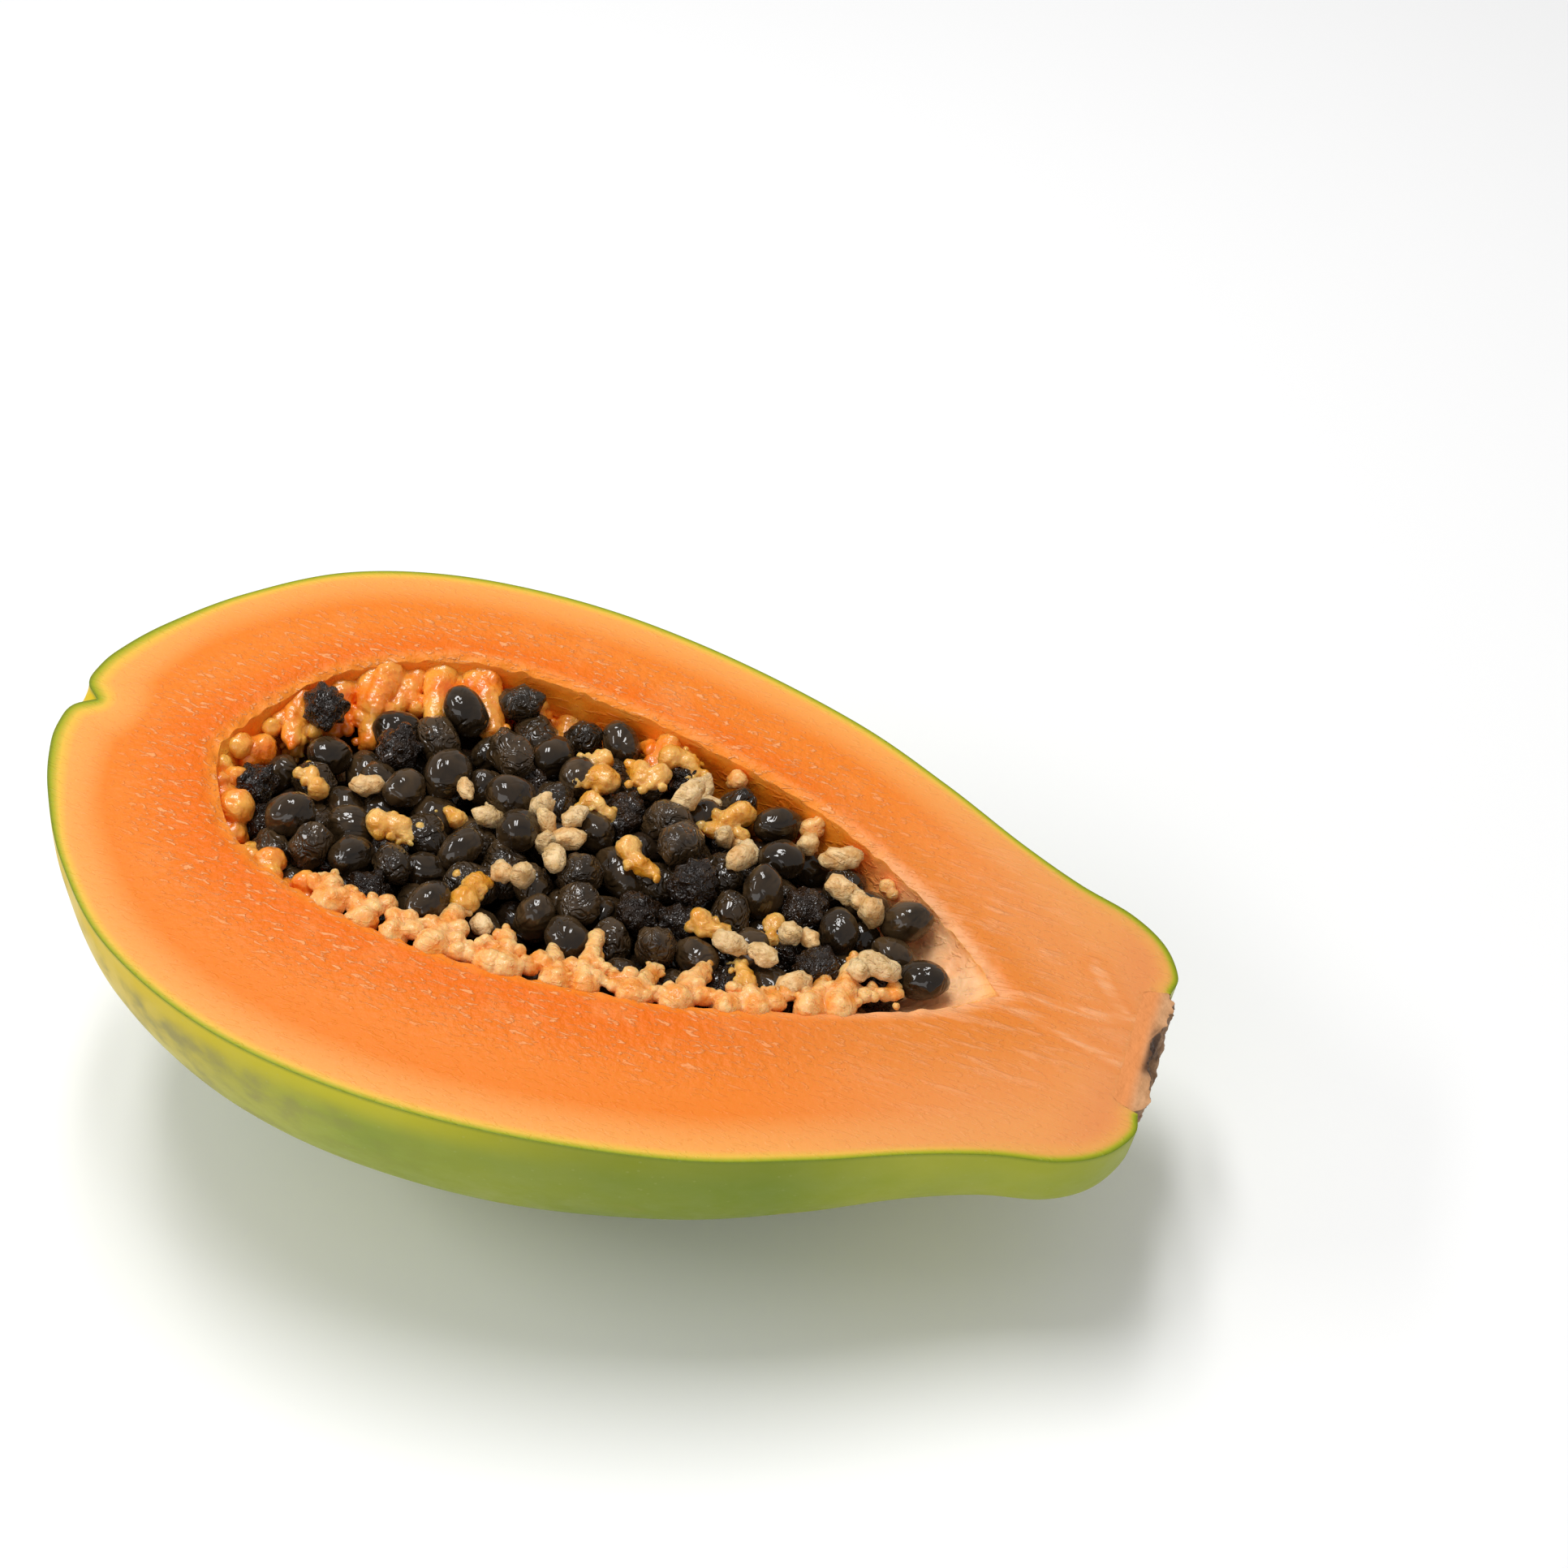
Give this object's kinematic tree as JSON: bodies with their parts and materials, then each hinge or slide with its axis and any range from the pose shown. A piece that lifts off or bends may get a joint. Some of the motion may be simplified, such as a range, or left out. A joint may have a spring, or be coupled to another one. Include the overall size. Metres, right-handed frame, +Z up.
{
  "type": "half papaya",
  "caption": "Half of a papaya cut lengthwise, lying on its green skin, with orange flesh and a seed cavity full of dark seeds.",
  "frame": {"origin": "middle of the small flat spot of the belly that the half rests on", "axes": "+X along the fruit towards the stalk end, level; +Y towards the far side of the cut; +Z up from the surface it lies on"},
  "size_m": [0.171, 0.105, 0.0629],
  "materials": {
    "fruit": "wet orange flesh under a thin waxy green skin",
    "seeds": "dark seeds in wet, clear seed coats",
    "stalk": "dry, ragged and corky"
  },
  "bodies": {
    "root": {"fruit_half": "fruit", "seed_heap": "seeds", "stalk_stub": "stalk"}
  },
  "joints": []
}
